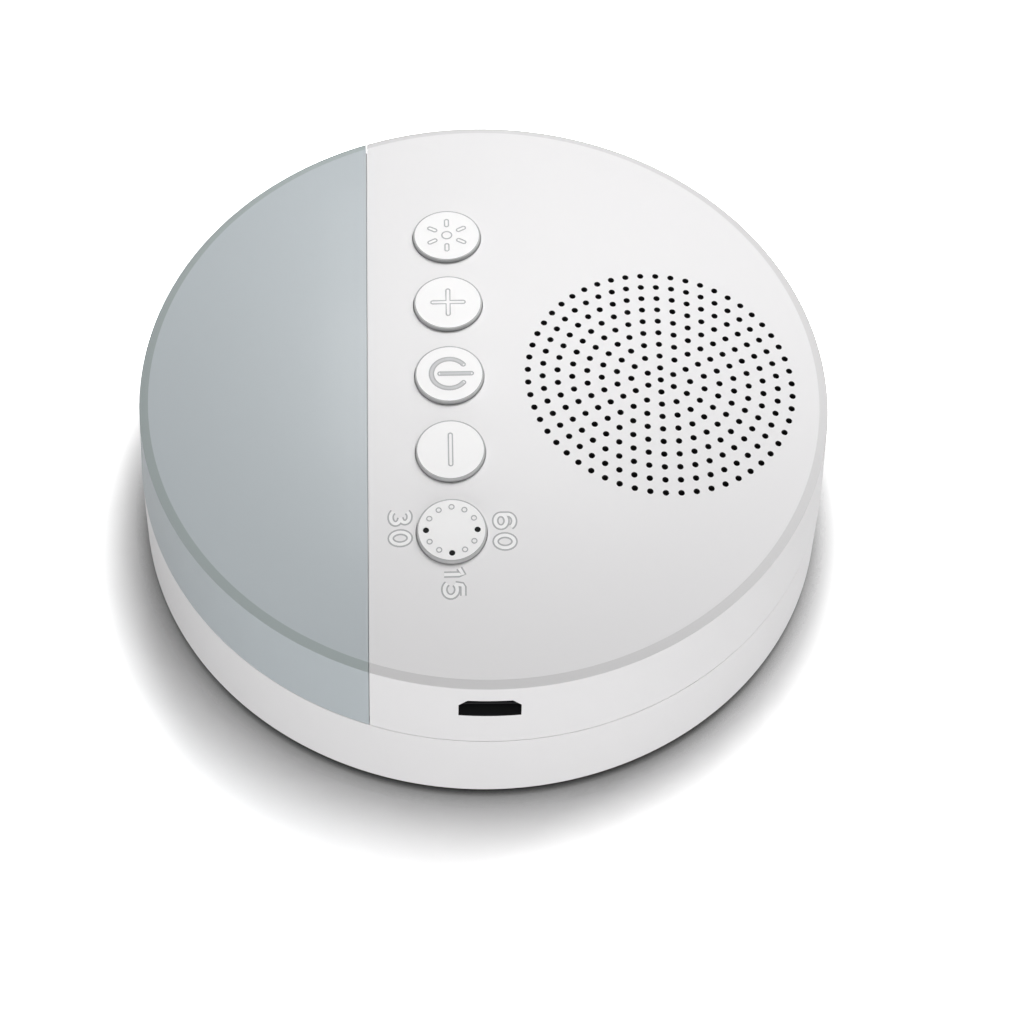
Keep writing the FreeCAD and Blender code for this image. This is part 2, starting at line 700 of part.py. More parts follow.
def makeSpeaker():
    """The loudspeaker, from its basket down to the magnet, and the parts that move in it."""
    ears = [
        cylinder(f"basket_ear_{number}", "earRadius", "flangeThick", x, y, f"{flangeTop} - flangeThick")
        for number, (x, y) in enumerate(speakerEarPlaces)
    ]
    tabInner = "(mouthRadius + 1)"
    for side in (1, -1):
        middle = f"{side} * (earCircle + {tabInner}) / 2"
        ears.append(box(f"basket_tab_{side + 1}", "2 * earRadius", f"earCircle - {tabInner}", "flangeThick",
                        "speakerX", middle, f"{flangeTop} - flangeThick"))
    rim = cylinder("basket_rim", "flangeRadius", "flangeThick", "speakerX", z=f"{flangeTop} - flangeThick")
    mouth = cylinder("basket_mouth", "mouthRadius", "3 * flangeThick", "speakerX",
                     z=f"{flangeTop} - 2 * flangeThick")
    foot = cylinder("basket_foot", "footPlateRadius", "basketPlate", "speakerX", z=basketFootZ)
    bore = cylinder("basket_bore", "basketBore", "3 * basketPlate", "speakerX", z=f"{basketFootZ} - basketPlate")
    legInner, legOuter = "(mouthRadius + 0.2)", "(mouthRadius + 0.2 + legThick)"
    legs = []
    for number in range(int(size("basketLegs"))):
        leg = plate(
            f"basket_leg_{number}",
            [
                ("footPlateRadius - 1", "0"),
                ("footPlateRadius", "0"),
                (legOuter, "basketHigh / 2"),
                (legOuter, "basketHigh + flangeThick / 2"),
                (legInner, "basketHigh + flangeThick / 2"),
                (legInner, "basketHigh / 2 + basketPlate"),
                ("footPlateRadius - 1", "basketPlate"),
            ],
            "legWide",
            plane="XZ_Plane",
        )
        turn = 45 + 360 * number / int(size("basketLegs"))
        put(leg, f"speakerX - legWide / 2 * sin({turn})", f"legWide / 2 * cos({turn})", basketFootZ,
            ((0, 0, 1), turn))
        legs.append(leg)
    holes = [
        cylinder(f"ear_hole_{number}", "smallShankRadius + shankRoom", "3 * flangeThick", x, y,
                 f"{flangeTop} - 2 * flangeThick")
        for number, (x, y) in enumerate(speakerEarPlaces)
    ]
    piece(cut("basket_open", fuse("basket_whole", rim, foot, *ears, *legs), mouth, bore, *holes), "speaker_frame")
    plateBore = "(poleRadius + 2 * coilGap + coilThick)"
    topPlate = [
        (plateBore, "-plateThick"),
        ("plateRadius", "-plateThick"),
        ("plateRadius", "0"),
        (plateBore, "0"),
    ]
    piece(turned("top_plate", topPlate, "speakerX", z=basketFootZ), "speaker_top_plate")
    magnet = [
        ("magnetBore", "-plateThick - magnetThick"),
        ("magnetRadius", "-plateThick - magnetThick"),
        ("magnetRadius", "-plateThick"),
        ("magnetBore", "-plateThick"),
    ]
    piece(turned("magnet", magnet, "speakerX", z=basketFootZ), "speaker_magnet")
    backPlate = [
        ("0", "-2 * plateThick - magnetThick"),
        ("plateRadius", "-2 * plateThick - magnetThick"),
        ("plateRadius", "-plateThick - magnetThick"),
        ("poleRadius", "-plateThick - magnetThick"),
        ("poleRadius", "0"),
        ("0", "0"),
    ]
    piece(turned("back_plate", backPlate, "speakerX", z=basketFootZ), "speaker_back_plate")
    coilInner, coilOuter = "(poleRadius + coilGap)", "(poleRadius + coilGap + coilThick)"
    neck = "(coilHigh - plateThick - 2.4)"
    coil = [
        (coilInner, f"{neck} - coilHigh"),
        (coilOuter, f"{neck} - coilHigh"),
        (coilOuter, neck),
        (coilInner, neck),
    ]
    piece(turned("coil", coil, "speakerX", z=basketFootZ), "voice_coil")
    neckZ = f"({basketFootZ} + {neck})"
    paper = funnel("paper_outer", coilOuter, "coneRadius", "coneHigh", neckZ)
    paperRoom = funnel("paper_inner", coilInner, "coneRadius - coneThick", "coneHigh", f"{neckZ} + coneFloor")
    piece(cut("paper", paper, paperRoom), "speaker_cone")
    capZ = f"{neckZ} + coneFloor"
    piece(cylinder("dust", coilInner, "capThick", "speakerX", z=capZ), "dust_cap")
    coneTop = f"({neckZ} + coneHigh)"
    rollHigh, rollRadius = f"({flangeTop} - {coneTop})", "(mouthRadius - rollGap)"
    roll = funnel("roll_outer", "coneRadius", rollRadius, rollHigh, coneTop)
    rollRoom = funnel("roll_inner", "coneRadius - coneThick", f"{rollRadius} - coneThick", rollHigh, coneTop)
    piece(cut("surround", roll, rollRoom), "cone_surround")
    gasket = [
        ("seatInner", "0"),
        ("flangeRadius", "0"),
        ("flangeRadius", "gasketThick"),
        ("seatInner", "gasketThick"),
    ]
    piece(turned("gasket", gasket, "speakerX", z=flangeTop), "speaker_gasket")
    clothTop = ball("cloth_top", f"{domeRadius} - coverWall - clothGap")
    clothUnder = ball("cloth_under", f"{domeRadius} - coverWall - clothGap - clothThick")
    disc = cylinder("cloth_disc", "clothRadius", f"{apexZ} - {seatZ}", "speakerX", z=seatZ)
    cloth = cut("cloth", common("cloth_dome", disc, clothTop), clothUnder)
    piece(cloth, "grille_cloth")


def makeBattery():
    cell = turned(
        "cell",
        [
            ("0", "0"),
            ("cellRadius", "0"),
            ("cellRadius", "cellLength - cellNose"),
            ("cellNoseRadius", "cellLength - cellNose"),
            ("cellNoseRadius", "cellLength"),
            ("0", "cellLength"),
        ],
        "cellX",
        "cellLength / 2",
        cellZ,
        ((1, 0, 0), 90),
    )
    piece(cell, "battery_cell")
    pad = plate("foam_pad", rectangle("foamWide", "foamLong"), "foamThick")
    copies("battery_pads", pad, [("cellX", f"{side} * cradleY", cellTop) for side in (1, -1)])


def segment(inset):
    """The tray's outline: a chord of the casing, drawn in by an inset."""
    radius, edge = f"(trayRadius - {inset})", f"(trayEdgeX - {inset})"
    reach = f"sqrt({radius} * {radius} - {edge} * {edge})"
    return [(edge, reach, radius, 1), (edge, f"-{reach}")]


def makeNightLight():
    tray = plate("tray", segment("0"), "trayFloor + trayRim", z=trayZ)
    room = plate("tray_room", segment("trayWall"), "trayRim + 1", z=f"{trayZ} + trayFloor")
    holes = [
        cylinder(f"tray_hole_{side + 1}", "smallShankRadius + shankRoom", "trayFloor + 2", "trayPostX",
                 f"{side} * trayPostY", f"{trayZ} - 1")
        for side in (1, -1)
    ]
    piece(cut("tray_open", tray, room, *holes), "light_tray")
    boardZ = f"({trayZ} + trayFloor)"
    strip = box("light_strip", "lightBoardWide", "lightBoardLong", "lightBoardThick", "lightBoardX", z=boardZ)
    piece(strip, "light_board")
    led = plate("led", rectangle("ledWide", "ledLong"), "ledHigh")
    count = int(size("ledCount"))
    rows = [f"ledPitch * ({number} - (ledCount - 1) / 2)" for number in range(count)]
    copies("night_light_leds", led, [("lightBoardX", y, f"{boardZ} + lightBoardThick") for y in rows])


cellZ = f"({floorTop} + cellLift + cellRadius)"
cellTop = f"({cellZ} + cellRadius)"
trayZ = f"({cellTop} + foamThick)"
footPlaces = [(f"{a} * footCircle * sqrt(0.5)", f"{b} * footCircle * sqrt(0.5)") for a in (1, -1) for b in (1, -1)]

makeTopCover()
makeLightPanel()
makeBase()
makeFeet()
casingScrew = makeScrew("casing_screw", "screwHeadRadius", "screwHeadHigh", "screwShankRadius", "screwLength")
copies("housing_screws", casingScrew, [(x, y, "screwSeat") for x, y in bossPlaces])
makeKeys()
makeSwitchHousings()
makeMainBoard()
boardScrew = makeScrew("board_screw", "smallHeadRadius", "smallHeadHigh", "smallShankRadius", "smallScrewLength")
copies("board_screws", boardScrew, [(x, y, boardUnder) for x, y in boardPostPlaces])
makeSocket()
makeSpeaker()
earScrew = makeScrew("ear_screw", "smallHeadRadius", "smallHeadHigh", "smallShankRadius",
                     "flangeThick + smallScrewLength / 2")
copies("speaker_screws", earScrew, [(x, y, f"{flangeTop} - flangeThick") for x, y in speakerEarPlaces])
makeBattery()
makeNightLight()
trayScrew = makeScrew("tray_screw", "smallHeadRadius", "smallHeadHigh", "smallShankRadius",
                      "smallScrewLength", up=False)
copies("tray_screws", trayScrew,
       [("trayPostX", f"{side} * trayPostY", f"{trayZ} + trayFloor") for side in (1, -1)])

doc.recompute()
for thing in doc.Objects:
    if "Invalid" in thing.State or "Error" in thing.State:
        raise RuntimeError(f"{thing.Label} did not build: {thing.State}")
for thing in pieces:
    if thing.Shape.isNull() or not thing.Shape.isValid() or not thing.Shape.Solids:
        raise RuntimeError(f"{thing.Label} has no valid solid")

os.makedirs("parts", exist_ok=True)
for thing in pieces:
    thing.Shape.exportStep(f"parts/{thing.Label}.step")
    print(f"{thing.Label}: {len(thing.Shape.Solids)} solids, {thing.Shape.Volume:.1f} mm3")
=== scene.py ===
import json
import math

import bmesh
import bpy
import numpy as np
from mathutils import Matrix, Vector


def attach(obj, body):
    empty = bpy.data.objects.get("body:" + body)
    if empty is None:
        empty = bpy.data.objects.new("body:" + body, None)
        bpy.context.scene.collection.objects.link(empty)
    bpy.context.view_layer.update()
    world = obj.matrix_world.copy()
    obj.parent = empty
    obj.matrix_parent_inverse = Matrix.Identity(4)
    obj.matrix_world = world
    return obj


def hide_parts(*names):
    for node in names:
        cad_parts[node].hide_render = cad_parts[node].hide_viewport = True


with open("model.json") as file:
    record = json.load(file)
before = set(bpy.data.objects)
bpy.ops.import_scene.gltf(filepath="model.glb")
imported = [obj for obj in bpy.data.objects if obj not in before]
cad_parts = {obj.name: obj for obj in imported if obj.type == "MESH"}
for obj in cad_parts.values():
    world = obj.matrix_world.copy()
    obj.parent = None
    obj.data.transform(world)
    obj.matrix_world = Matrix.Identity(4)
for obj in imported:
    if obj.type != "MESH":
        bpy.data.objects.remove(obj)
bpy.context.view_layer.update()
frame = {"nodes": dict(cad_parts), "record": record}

mm = 0.001
scene = bpy.context.scene
scene.view_settings.view_transform = "Standard"
print("frame loaded")

# The casing's form in millimetres, as the solids have it, and how finely it is drawn; "clear" is past it.
casing = {
    "seamRadius": 48.28,
    "seamZ": 15.16,
    "rimRadius": 48.0,
    "rimZ": 28.10,
    "bandWidth": 1.21,
    "bandRise": 0.54,
    "domeRise": 4.6,
    "wall": 2.0,
    "bore": 46.0,
    "splitX": -16.2,
    "splitGap": 0.08,
    "edgeRound": 0.16,
    "edgeSteps": 4,
    "outerSteps": 30,
    "innerSteps": 16,
    "turns": 256,
    "clear": 60,
}
tiny = 1e-6
bandRadius = casing["rimRadius"] - casing["bandWidth"]
apexZ = casing["rimZ"] + casing["bandRise"] + casing["domeRise"]
domeRadius = (bandRadius**2 + casing["domeRise"] ** 2) / (2 * casing["domeRise"])
domeCentre = apexZ - domeRadius


def domeZ(x, y, lift=0.0):
    return domeCentre + math.sqrt((domeRadius + lift) ** 2 - x * x - y * y)


class Wire:  # a socket that takes part in sums
    def __init__(self, nodes, socket):
        self.nodes = nodes
        self.socket = socket

    def __add__(self, other):
        return self.nodes.maths("ADD", self, other)

    def __sub__(self, other):
        return self.nodes.maths("SUBTRACT", self, other)

    def __rsub__(self, other):
        return self.nodes.maths("SUBTRACT", other, self)

    def __mul__(self, other):
        return self.nodes.maths("MULTIPLY", self, other)

    __radd__ = __add__
    __rmul__ = __mul__


class Nodes:  # adds nodes to a shader or a geometry tree
    def __init__(self, tree):
        self.tree = tree

    def feed(self, socket, value):
        for one in value if isinstance(value, list) else [value]:
            if isinstance(one, Wire):
                self.tree.links.new(one.socket, socket)
            else:
                socket.default_value = one

    def add(self, kind, settings=None, sockets=None, output=0):
        made = self.tree.nodes.new(kind)
        for name, value in (settings or {}).items():
            setattr(made, name, value)
        for key, value in (sockets or {}).items():
            self.feed(made.inputs[key], value)
        return Wire(self, made.outputs[output]) if made.outputs else None

    def maths(self, operation, *values):
        return self.add("ShaderNodeMath", {"operation": operation}, dict(enumerate(values)))


finishes = {}


def finish(name, colour, rough, sockets=None, pattern="grain", scale=3200, depth=4e-6, drift=0.03):
    # a finish: its fine relief, and slow drifts of its colour and roughness over the surface
    roughDrift = 0.05
    slowScale = 45
    brushStretch = (1, 1, 14)
    material = bpy.data.materials.new(name)
    material.use_nodes = True
    nodes = Nodes(material.node_tree)
    shader = material.node_tree.nodes["Principled BSDF"]
    place = nodes.add("ShaderNodeTexCoord", output="Object")

    def noise(size, detail, vector=place):
        return nodes.add("ShaderNodeTexNoise", {}, {"Vector": vector, "Scale": size, "Detail": detail}, "Fac")

    def wave(way):
        sockets = {"Vector": place, "Scale": scale}
        return nodes.add("ShaderNodeTexWave", {"bands_direction": way}, sockets, "Fac")

    slow = noise(slowScale, 3)
    other = noise(scale / 8, 2)
    tint = nodes.add("ShaderNodeMix", {"data_type": "RGBA"}, {
        0: slow,
        6: (*[c * (1 - drift) for c in colour], 1),
        7: (*[min(1, c * (1 + drift)) for c in colour], 1),
    }, 2)
    nodes.feed(shader.inputs["Base Color"], tint)
    nodes.feed(shader.inputs["Roughness"], (slow + other) * roughDrift + (rough - roughDrift))
    if pattern == "grain":
        relief = noise(scale, 4)
    elif pattern == "brushed":
        long = nodes.add("ShaderNodeMapping", {}, {"Vector": place, "Scale": brushStretch})
        relief = noise(scale / 4, 5, long)
    elif pattern == "wound":
        relief = wave("Z")
    else:
        relief = wave("X") * wave("Y")
    bump = nodes.add("ShaderNodeBump", {}, {"Height": relief, "Distance": depth, "Strength": 1.0})
    nodes.feed(shader.inputs["Normal"], bump)
    for key, value in (sockets or {}).items():
        shader.inputs[key].default_value = value
    finishes[name] = material
    return material


metal = {"Metallic": 1.0}
shine = {"Coat Weight": 0.25}
finish("white_shell", (0.86, 0.852, 0.858), 0.42, drift=0.006)
finish("panel_grey", (0.50, 0.547, 0.572), 0.40, drift=0.008, sockets={"Coat Weight": 0.08})
finish("key_white", (0.97, 0.965, 0.965), 0.40, drift=0.004)
finish("plunger_black", (0.03, 0.03, 0.03), 0.5)
finish("black_plastic", (0.02, 0.02, 0.022), 0.5)
finish("foot_rubber", (0.50, 0.50, 0.50), 0.8, depth=1.2e-5, scale=2200)
finish("screw_steel", (0.58, 0.58, 0.57), 0.32, metal, "brushed")
finish("socket_steel", (0.10, 0.10, 0.105), 0.45, metal, "brushed")
finish("stamped_steel", (0.05, 0.05, 0.055), 0.45, shine)
finish("ferrite", (0.06, 0.06, 0.065), 0.7, depth=1.5e-5, scale=1500)
finish("copper_coil", (0.72, 0.34, 0.16), 0.3, metal, "wound", scale=1600, depth=3e-5)
finish("cone_paper", (0.035, 0.035, 0.037), 0.85, depth=2.5e-5, scale=900)
finish("surround_rubber", (0.02, 0.02, 0.02), 0.6)
finish("foam", (0.05, 0.05, 0.05), 0.95, depth=6e-5, scale=1400)
finish("grille_cloth", (0.012, 0.012, 0.013), 0.9, {"Sheen Weight": 0.3}, "weave", scale=1200, depth=5e-5)
finish("cell_sleeve", (0.02, 0.10, 0.34), 0.25, shine, depth=2e-6)
finish("board_green", (0.01, 0.13, 0.05), 0.3, shine, "weave", scale=500, depth=6e-6)
finish("board_white", (0.80, 0.80, 0.78), 0.35, depth=5e-6)
finish("led_lens", (0.85, 0.72, 0.22), 0.2, shine)
finish("icon_line", (0.46, 0.46, 0.47), 0.5, drift=0.01)
finish("icon_fill", (0.60, 0.60, 0.61), 0.5, drift=0.01)
# painted highlight: the raised numbers are the shell's plastic, drawn lighter than it
finish("number_painted_highlight", (0.98, 0.98, 0.98), 0.35, drift=0.004)
finish("dark_lens", (0.003, 0.003, 0.003), 0.7, {"Specular IOR Level": 0.15})
# near-black painted shade for the walls of the grille holes
finish("hole_painted_shade", (0.035, 0.033, 0.033), 0.8, {"Specular IOR Level": 0.3})
# grey painted shade for the sides and outer rim of the white keys
finish("key_side", (0.43, 0.43, 0.435), 0.5, drift=0.01)
finish("band_white", (0.715, 0.708, 0.712), 0.42, drift=0.006)
finish("band_grey", (0.395, 0.445, 0.445), 0.42, drift=0.008)
for entry in frame["record"]["subparts"]:
    mesh = frame["nodes"][entry["node"]].data
    mesh.materials.clear()
    mesh.materials.append(finishes[entry["material_slot"]])
print("finishes made")


def newObject(name, mesh, material=None):
    made = bpy.data.objects.new(name, mesh)
    scene.collection.objects.link(made)
    if material:
        mesh.materials.clear()
        mesh.materials.append(finishes[material])
    return made


def fromLists(name, points, faces, material=None):
    mesh = bpy.data.meshes.new(name)
    mesh.from_pydata([Vector(p) * mm for p in points], [], faces)
    work = bmesh.new()
    work.from_mesh(mesh)
    bmesh.ops.recalc_face_normals(work, faces=work.faces)
    work.to_mesh(mesh)
    work.free()
    return newObject(name, mesh, material)


def settled(thing):  # the object's modifiers made into plain mesh, and taken off
    graph = bpy.context.evaluated_depsgraph_get()
    mesh = bpy.data.meshes.new_from_object(thing.evaluated_get(graph))
    thing.modifiers.clear()
    thing.data = mesh
    return thing


def carve(thing, *cutters):
    for cutter in cutters:
        step = thing.modifiers.new("cut", "BOOLEAN")
        step.operation = "DIFFERENCE"
        step.solver = "MANIFOLD"
        step.object = cutter
    settled(thing)
    for cutter in cutters:
        bpy.data.objects.remove(cutter)
    return thing


def stationsOf(points):
    # the path's points with their normals, with an arc at each rounded corner; the solid is on its left
    made = []
    for i, (r, z, turn) in enumerate(points):
        here = Vector((r, z))
        before = (here - Vector(points[i - 1][:2])).normalized()
        after = (Vector(points[(i + 1) % len(points)][:2]) - here).normalized()
        first, last = Vector((before.y, -before.x)), Vector((after.y, -after.x))
        if turn == "smooth":
            away = 1 if z > domeZ(r, 0) - casing["wall"] / 2 else -1
            normal = Vector((r, z - domeCentre)).normalized() * away
            made.append((r, z, *normal))
        elif turn == 0:
            made += [(r, z, *first), (r, z, *last)]
        else:
            start = here - before * turn * math.tan(before.angle(after) / 2)
            for k in range(casing["edgeSteps"] + 1):
                normal = first.lerp(last, k / casing["edgeSteps"]).normalized()
                made.append((*(start - first * turn + normal * turn), *normal))
    return made


def spun(name, stations, material):
    rings, points, faces = [], [], []
    count = casing["turns"]
    last = None
    for r, z, _, _ in stations:
        if last and math.hypot(r - last[0], z - last[1]) < tiny:
            continue
        last = (r, z)
        start = len(points)
        around = count if r > tiny else 1
        points += [
            (r * math.cos(2 * math.pi * k / count), r * math.sin(2 * math.pi * k / count), z)
            for k in range(around)
        ]
        rings.append([start + k % around for k in range(count)])
    for low, high in zip(rings, rings[1:] + rings[:1]):
        if len(set(low)) == len(set(high)) == 1:
            continue
        for k in range(count):
            j = (k + 1) % count
            loop = dict.fromkeys((low[k], low[j], high[j], high[k]))
            faces.append(list(loop))
    return fromLists(name, points, faces, material)


def shadeBy(thing, stations):
    # gives what is left of a spun surface the normals of the true form, and keeps the cut walls flat
    limits = {"gap": 0.06, "match": 0.9, "turned": 2, "short": 1e-9, "barred": 9}
    mesh = thing.data
    mesh.shade_smooth()
    corner = np.empty(len(mesh.vertices) * 3)
    mesh.vertices.foreach_get("co", corner)
    corner = corner.reshape(-1, 3) / mm
    middle, normal = np.empty((2, len(mesh.polygons) * 3))
    mesh.polygons.foreach_get("center", middle)
    mesh.polygons.foreach_get("normal", normal)
    middle, normal = middle.reshape(-1, 3) / mm, normal.reshape(-1, 3)
    path = np.array(stations + stations[:1])
    a, b = path[:-1, :2], path[1:, :2]
    along = b - a
    reach = np.maximum((along**2).sum(1), 1e-12)
    flat = np.stack([np.hypot(middle[:, 0], middle[:, 1]), middle[:, 2]], 1)
    t = np.clip(((flat[:, None] - a) * along).sum(2) / reach, 0, 1)
    gap = np.linalg.norm(flat[:, None] - a - t[..., None] * along, axis=2)
    outwards = (normal[:, :2] * middle[:, :2]).sum(1) / np.maximum(flat[:, 0], tiny)
    seen = np.stack([outwards, normal[:, 2]], 1)
    facing = path[:-1, 2:] + path[1:, 2:]
    facing /= np.maximum(np.linalg.norm(facing, axis=1), tiny)[:, None]
    match = seen @ facing.T
    barred = (reach < limits["short"]) * limits["barred"]
    best = (gap + limits["turned"] * (1 - match) + barred).argmin(1)
    rows = np.arange(len(best))
    ours = (gap[rows, best] < limits["gap"]) & (match[rows, best] > limits["match"])
    loopVertex = np.empty(len(mesh.loops), int)
    mesh.loops.foreach_get("vertex_index", loopVertex)
    total = np.empty(len(mesh.polygons), int)
    mesh.polygons.foreach_get("loop_total", total)
    face = np.repeat(rows, total)
    spot, run = corner[loopVertex], best[face]
    radius = np.hypot(spot[:, 0], spot[:, 1])
    onPath = np.stack([radius, spot[:, 2]], 1)
    t = np.clip(((onPath - a[run]) * along[run]).sum(1) / reach[run], 0, 1)[:, None]
    turned = path[run, 2:] * (1 - t) + path[run + 1, 2:] * t
    outward = spot[:, :2] / np.maximum(radius, tiny)[:, None]
    smooth = np.concatenate([outward * turned[:, :1], turned[:, 1:]], 1)
    smooth /= np.maximum(np.linalg.norm(smooth, axis=1), tiny)[:, None]
    chosen = np.where(ours[face][:, None], smooth, normal[face])
    mesh.normals_split_custom_set(chosen.tolist())
    return thing


def prism(name, low, high):
    # the closed form between two outlines of as many points each
    count = len(low)
    walls = [(k, (k + 1) % count, count + (k + 1) % count, count + k) for k in range(count)]
    return fromLists(name, [*low, *high], [*walls, list(range(count)), list(range(count, 2 * count))])


def rod(name, radius, low, high, x=0.0, y=0.0, sides=96):
    around = [2 * math.pi * k / sides for k in range(sides)]
    flat = [(x + radius * math.cos(a), y + radius * math.sin(a)) for a in around]
    return prism(name, *[[(*spot, z) for spot in flat] for z in (low, high)])


def slab(name, start, end):
    # a block that takes in the whole casing between two places along x
    far = casing["clear"]
    points = [(x, y, z) for x in (start, end) for y in (-far, far) for z in (0, far)]
    faces = [(0, 1, 3, 2), (4, 5, 7, 6), (0, 1, 5, 4), (2, 3, 7, 6), (0, 2, 6, 4), (1, 3, 7, 5)]
    return fromLists(name, points, faces)


def insideOf(node, name, keep):
    # what lies inside a solid's skin, taken from a copy of it
    mesh = frame["nodes"][node].data.copy()
    work = bmesh.new()
    work.from_mesh(mesh)
    bmesh.ops.remove_doubles(work, verts=work.verts, dist=1e-7)
    gone = [face for face in work.faces if not keep(face.calc_center_median() / mm)]
    bmesh.ops.delete(work, geom=gone, context="FACES")
    work.to_mesh(mesh)
    work.free()
    return newObject(name, mesh)


def domeArc(lift, outer, inner, count):
    steps = [outer + (inner - outer) * k / count for k in range(count + 1)]
    return [(r, domeZ(r, 0, lift), "smooth") for r in steps]


soft = casing["edgeRound"]
domeStart = bandRadius - 0.1
skinStations = stationsOf([
    (casing["seamRadius"], casing["seamZ"], soft),
    (casing["rimRadius"], casing["rimZ"], soft),
    (bandRadius, casing["rimZ"] + casing["bandRise"], soft),
    *domeArc(0, domeStart, 0, casing["outerSteps"]),
    *domeArc(-casing["wall"], 0, casing["bore"], casing["innerSteps"]),
    (casing["bore"], casing["seamZ"], 0),
])

# Keys, grille and charging socket, in millimetres.
keys = {
    "x": -4.9,
    "pitch": 12.57,
    "names": ["light", "volume_up", "power", "volume_down", "timer"],
    "radius": 4.8,
    "gap": 0.1,
    "proud": 0.58,
    "edge": 0.14,
    # rim: the width of the top's outer strip that takes the same painted shade as the sides
    "rim": 0.1,
    "under": 28.8,
    "holeEnds": (20, 50),
}
keyPlaces = {name: keys["pitch"] * (2 - i) for i, name in enumerate(keys["names"])}
grille = {"x": 24.5, "rings": 9, "pitch": 2.057, "radius": 0.45, "sides": 24, "deep": 12, "sunk": 1}
socket = {"half": 4.25, "low": 21.6, "high": 25.3, "corner": 1.2, "outer": -50.0, "inner": -44.0}


def geometryTree(name, inputs):
    tree = bpy.data.node_groups.new(name, "GeometryNodeTree")
    for label, kind in {"Geometry": "NodeSocketGeometry", **inputs}.items():
        tree.interface.new_socket(label, in_out="INPUT", socket_type=kind)
    tree.interface.new_socket("Geometry", in_out="OUTPUT", socket_type="NodeSocketGeometry")
    nodes = Nodes(tree)
    given = tree.nodes.new("NodeGroupInput")
    return nodes, {label: Wire(nodes, given.outputs[label]) for label in ("Geometry", *inputs)}


def closeTree(nodes, geometry, material):
    real = nodes.add("GeometryNodeRealizeInstances", {}, {0: geometry})
    painted = nodes.add("GeometryNodeSetMaterial", {}, {0: real, "Material": finishes[material]})
    end = nodes.tree.nodes.new("NodeGroupOutput")
    nodes.feed(end.inputs[0], painted)
    return nodes.tree


def runTree(thing, tree, values):
    step = thing.modifiers.new(tree.name, "NODES")
    step.node_group = tree
    for item in tree.interface.items_tree:
        if item.name in values:
            step[item.identifier] = values[item.name]
    return settled(thing)


def grilleTree():
    nodes, given = geometryTree("grilleHoles", {
        "Pitch": "NodeSocketFloat", "Radius": "NodeSocketFloat", "Sides": "NodeSocketInt",
        "Depth": "NodeSocketFloat", "Centre": "NodeSocketVector",
    })
    spots = [nodes.add("GeometryNodePoints", {}, {"Count": 1})]
    for ring in range(1, grille["rings"] + 1):
        circle = {"Vertices": 6 * ring, "Radius": given["Pitch"] * ring}
        spots.append(nodes.add("GeometryNodeMeshCircle", {}, circle))
    pin = nodes.add("GeometryNodeMeshCylinder", {}, {
        "Vertices": given["Sides"], "Radius": given["Radius"], "Depth": given["Depth"],
    })
    pins = [nodes.add("GeometryNodeInstanceOnPoints", {}, {"Points": s, "Instance": pin}) for s in spots]
    joined = nodes.add("GeometryNodeJoinGeometry", {}, {0: pins})
    placed = nodes.add("GeometryNodeTransform", {}, {
        "Geometry": joined, "Translation": given["Centre"], "Rotation": (0, 0, math.pi / 2),
    })
    real = nodes.add("GeometryNodeRealizeInstances", {}, {0: placed})
    pierced = nodes.add("GeometryNodeMeshBoolean", {"operation": "DIFFERENCE", "solver": "MANIFOLD"}, {
        "Mesh 1": given["Geometry"], "Mesh 2": real,
    })
    return closeTree(nodes, pierced, "white_shell")


def socketCutter():
    half, low, high, corner = (socket[k] for k in ("half", "low", "high", "corner"))
    ring = [(-half, low), (half, low), (half, high - corner), (half - corner, high), (corner - half, high),
            (-half, high - corner)]
    return prism("socketCutter", *[[(x, socket[end], z) for x, z in ring] for end in ("outer", "inner")])


def tint(thing, finishName, chosen):
    # gives the faces that chosen() picks, by their centre and normal in millimetres, a finish of their own
    thing.data.materials.append(finishes[finishName])
    last = len(thing.data.materials) - 1
    for face in thing.data.polygons:
        if chosen(face.center / mm, face.normal):
            face.material_index = last


def onBand(spot, normal):
    slack = {"radius": 0.02, "height": 0.01}
    outside = math.hypot(spot.x, spot.y) > bandRadius - slack["radius"]
    return outside and spot.z > casing["rimZ"] - slack["height"]


def inGrille(spot, normal):
    steepest = 0.4
    reach = (grille["rings"] + 0.5) * grille["pitch"]
    return math.hypot(spot.x - grille["x"], spot.y) < reach and abs(normal.z) < steepest


# picks the cover's walls round the socket opening, which get a black painted shade
def inSocket(spot, normal):
    steepest = 0.5
    slack = 0.1
    across = abs(spot.x) < socket["half"] + slack
    within = across and socket["low"] - slack < spot.z < socket["high"] + slack
    return within and spot.y < socket["inner"] and abs(normal.y) < steepest


def makeCover():
    cover = spun("topCover", skinStations, "white_shell")
    cutters = [slab("coverSplit", -casing["clear"], casing["splitX"]), socketCutter()]
    for name, y in keyPlaces.items():
        cutters.append(rod(f"hole_{name}", keys["radius"] + keys["gap"], *keys["holeEnds"], keys["x"], y))
    carve(cover, *cutters)
    middle = domeZ(grille["x"], 0) - grille["sunk"]
    runTree(cover, grilleTree(), {
        "Pitch": grille["pitch"] * mm,
        "Radius": grille["radius"] * mm,
        "Sides": grille["sides"],
        "Depth": grille["deep"] * mm,
        "Centre": (grille["x"] * mm, 0, middle * mm),
    })
    shadeBy(cover, skinStations)
    tint(cover, "band_white", onBand)
    # the grille holes' walls take a near-black painted shade, standing for the shade inside the holes
    tint(cover, "hole_painted_shade", inGrille)
    # the white cover's walls round the socket opening take the black finish as painted shade, darkening the
    # opening
    tint(cover, "black_plastic", inSocket)
    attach(cover, "casing")
    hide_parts("top_cover")

    def keep(spot):
        slack = {"skin": 0.02, "split": 0.05}
        depth = min(domeRadius - casing["wall"] - math.dist(spot, (0, 0, domeCentre)),
                    casing["bore"] - math.hypot(spot.x, spot.y))
        return depth > slack["skin"] or spot.x < casing["splitX"] - slack["split"]

    inside = insideOf("top_cover", "coverInside", keep)
    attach(inside, "casing")
    print("cover made with", len(cover.data.polygons), "faces")


